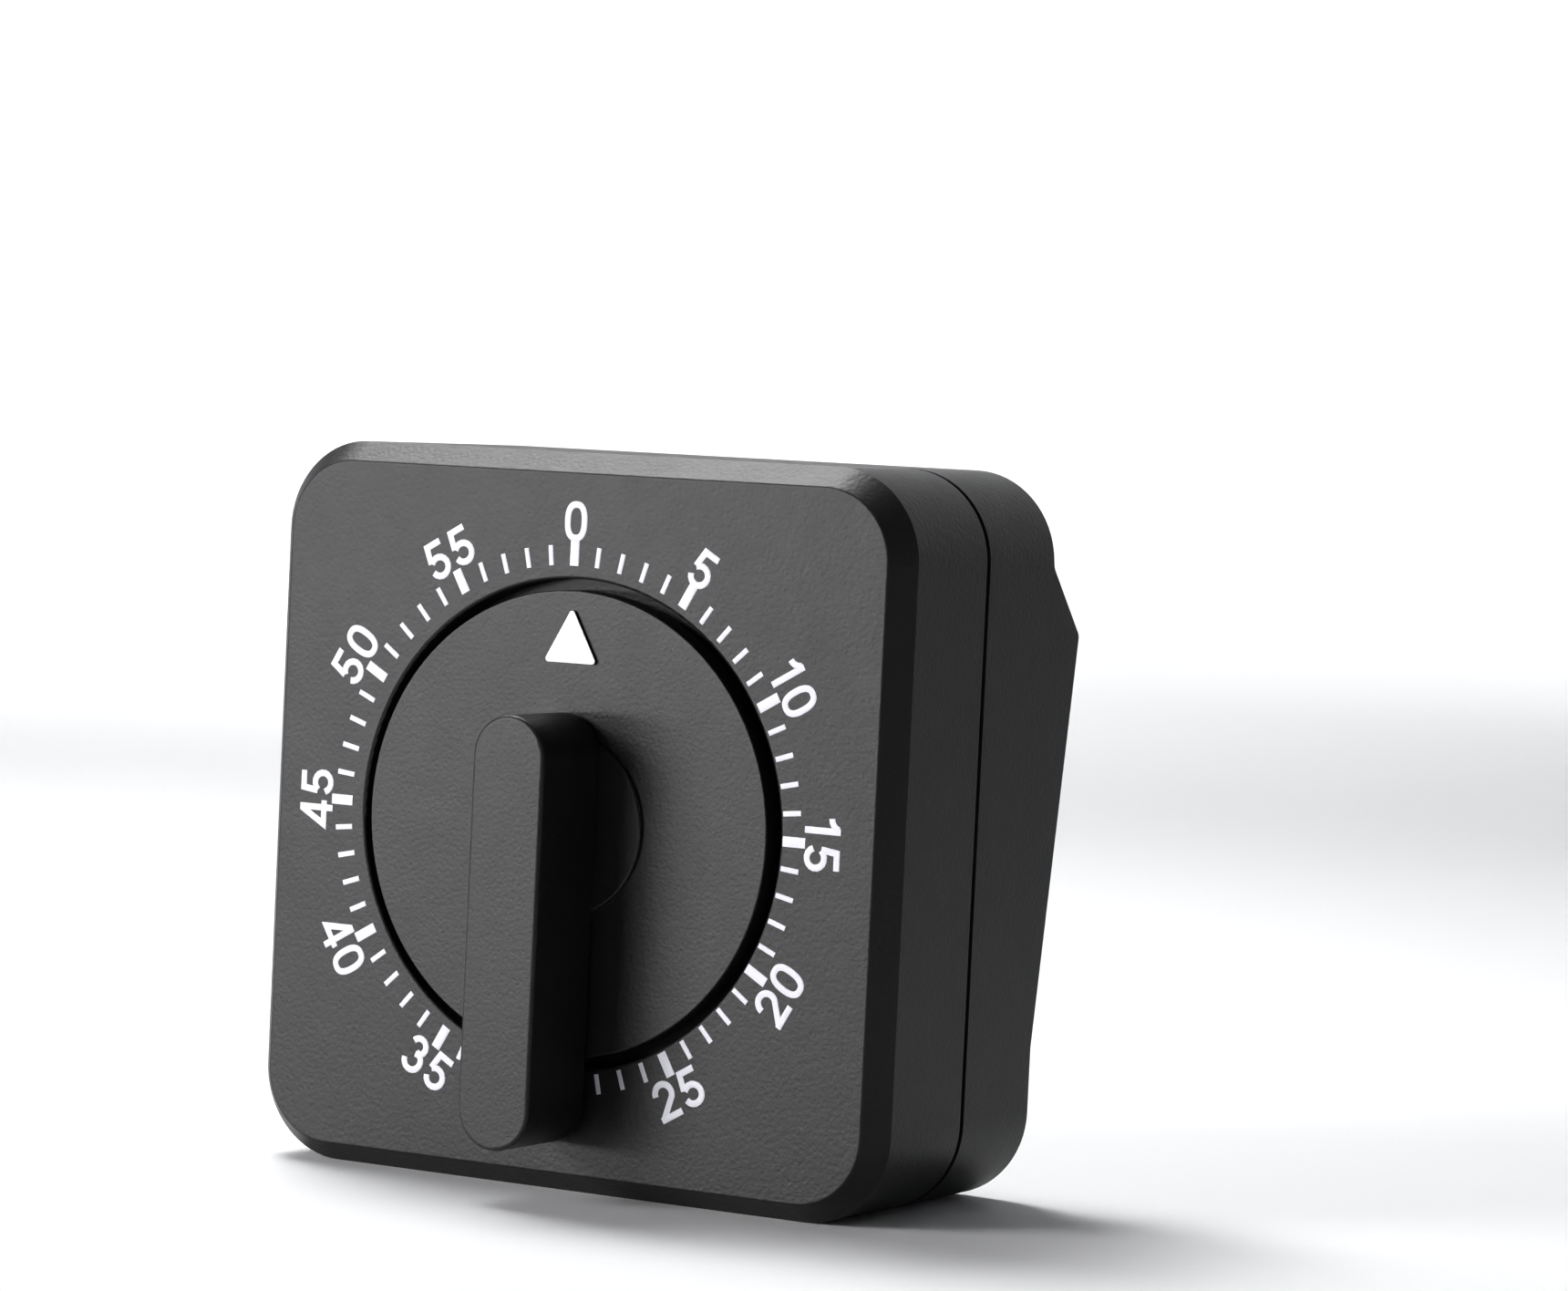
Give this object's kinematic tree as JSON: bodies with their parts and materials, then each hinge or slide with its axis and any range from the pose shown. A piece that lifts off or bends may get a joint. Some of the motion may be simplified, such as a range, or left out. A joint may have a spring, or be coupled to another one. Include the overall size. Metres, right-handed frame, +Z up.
{
  "type": "mechanical kitchen timer",
  "caption": "Square wind-up kitchen timer with a turning disc, a long grip bar, a raised pointer and a wedge-shaped back.",
  "frame": {"origin": "middle of the flat bottom face that the timer stands on, at mid-depth of the casing without its wedge", "axes": "+Z up; +Y from the dial towards the back; +X to the right as the user faces the dial"},
  "size_m": [0.07, 0.0466, 0.07],
  "materials": {
    "case_black": "fine spark-eroded texture, black",
    "dial_black": "fine spark-eroded texture, black",
    "pointer_white": "satin white",
    "plated_steel": "zinc plated",
    "screw_steel": "zinc plated",
    "spring_steel": "blued spring steel",
    "bell_steel": "nickel plated",
    "brass": "stamped brass",
    "cam_acetal": "natural acetal"
  },
  "bodies": {
    "root": {"front_cover": "case_black", "rear_cover": "case_black", "case_screws": "screw_steel", "front_plate": "plated_steel", "rear_plate": "plated_steel", "plate_pillars": "plated_steel", "pillar_screws": "screw_steel", "movement_screws": "screw_steel", "mainspring": "spring_steel", "spring_post": "plated_steel", "lever_post": "plated_steel", "lever_spring": "spring_steel", "hammer_spring": "spring_steel", "bell": "bell_steel", "bell_post": "plated_steel", "bell_screw": "screw_steel"},
    "dial": {"dial_disc": "dial_black", "grip_bar": "dial_black", "pointer_triangle": "pointer_white", "knob_clip": "spring_steel", "main_arbor": "plated_steel", "great_wheel": "brass", "ratchet_wheel": "plated_steel", "click_spring": "spring_steel", "click_rivets": "plated_steel", "zero_cam": "cam_acetal", "arbor_clip": "plated_steel"},
    "second_arbor": {"second_wheel": "brass", "second_pinion": "plated_steel"},
    "third_arbor": {"third_wheel": "brass", "third_pinion": "plated_steel"},
    "fourth_arbor": {"fourth_wheel": "brass", "fourth_pinion": "plated_steel"},
    "escape_arbor": {"escape_wheel": "brass", "escape_pinion": "plated_steel"},
    "anchor": {"anchor": "plated_steel", "pallet_pins": "plated_steel", "anchor_arbor": "plated_steel", "inertia_bar": "brass"},
    "release_lever": {"release_lever": "plated_steel"},
    "hammer": {"hammer_arm": "plated_steel", "hammer_head": "brass", "hammer_arbor": "plated_steel"}
  },
  "joints": [
    {"name": "dial_spin", "type": "hinge", "parent": "root", "child": "dial", "pos_m": [0, -0.0049, 0.035], "axis": [0, 1, 0], "range_deg": [0, 360]},
    {"name": "second_arbor_spin", "type": "hinge", "parent": "root", "child": "second_arbor", "pos_m": [-0.01403, -0.0049, 0.0431], "axis": [0, 1, 0], "range_deg": [-1800, 0]},
    {"name": "third_arbor_spin", "type": "hinge", "parent": "root", "child": "third_arbor", "pos_m": [-0.00899, -0.0049, 0.05231], "axis": [0, 1, 0], "range_deg": [0, 9000]},
    {"name": "fourth_arbor_spin", "type": "hinge", "parent": "root", "child": "fourth_arbor", "pos_m": [0.00001, -0.0049, 0.05261], "axis": [0, 1, 0], "range_deg": [-45000, 0]},
    {"name": "escape_arbor_spin", "type": "hinge", "parent": "root", "child": "escape_arbor", "pos_m": [0.00721, -0.0049, 0.05471], "axis": [0, 1, 0], "range_deg": [0, 180000]},
    {"name": "anchor_swing", "type": "hinge", "parent": "root", "child": "anchor", "pos_m": [0.01431, -0.0049, 0.05201], "axis": [0, 1, 0], "range_deg": [-4, 4]},
    {"name": "release_lever_drop", "type": "hinge", "parent": "root", "child": "release_lever", "pos_m": [-0.0155, -0.0049, 0.028], "axis": [0, -1, 0], "range_deg": [0, 6]},
    {"name": "hammer_swing", "type": "hinge", "parent": "root", "child": "hammer", "pos_m": [0.01918, -0.0049, 0.02963], "axis": [0, -1, 0], "range_deg": [0, 10], "stiffness_Nm_per_rad": 0.0002, "springref_deg": -28.65}
  ],
  "couplings": [
    {"joint": "second_arbor_spin", "follows": "dial_spin", "ratio": -5},
    {"joint": "third_arbor_spin", "follows": "dial_spin", "ratio": 25},
    {"joint": "fourth_arbor_spin", "follows": "dial_spin", "ratio": -125},
    {"joint": "escape_arbor_spin", "follows": "dial_spin", "ratio": 500}
  ]
}
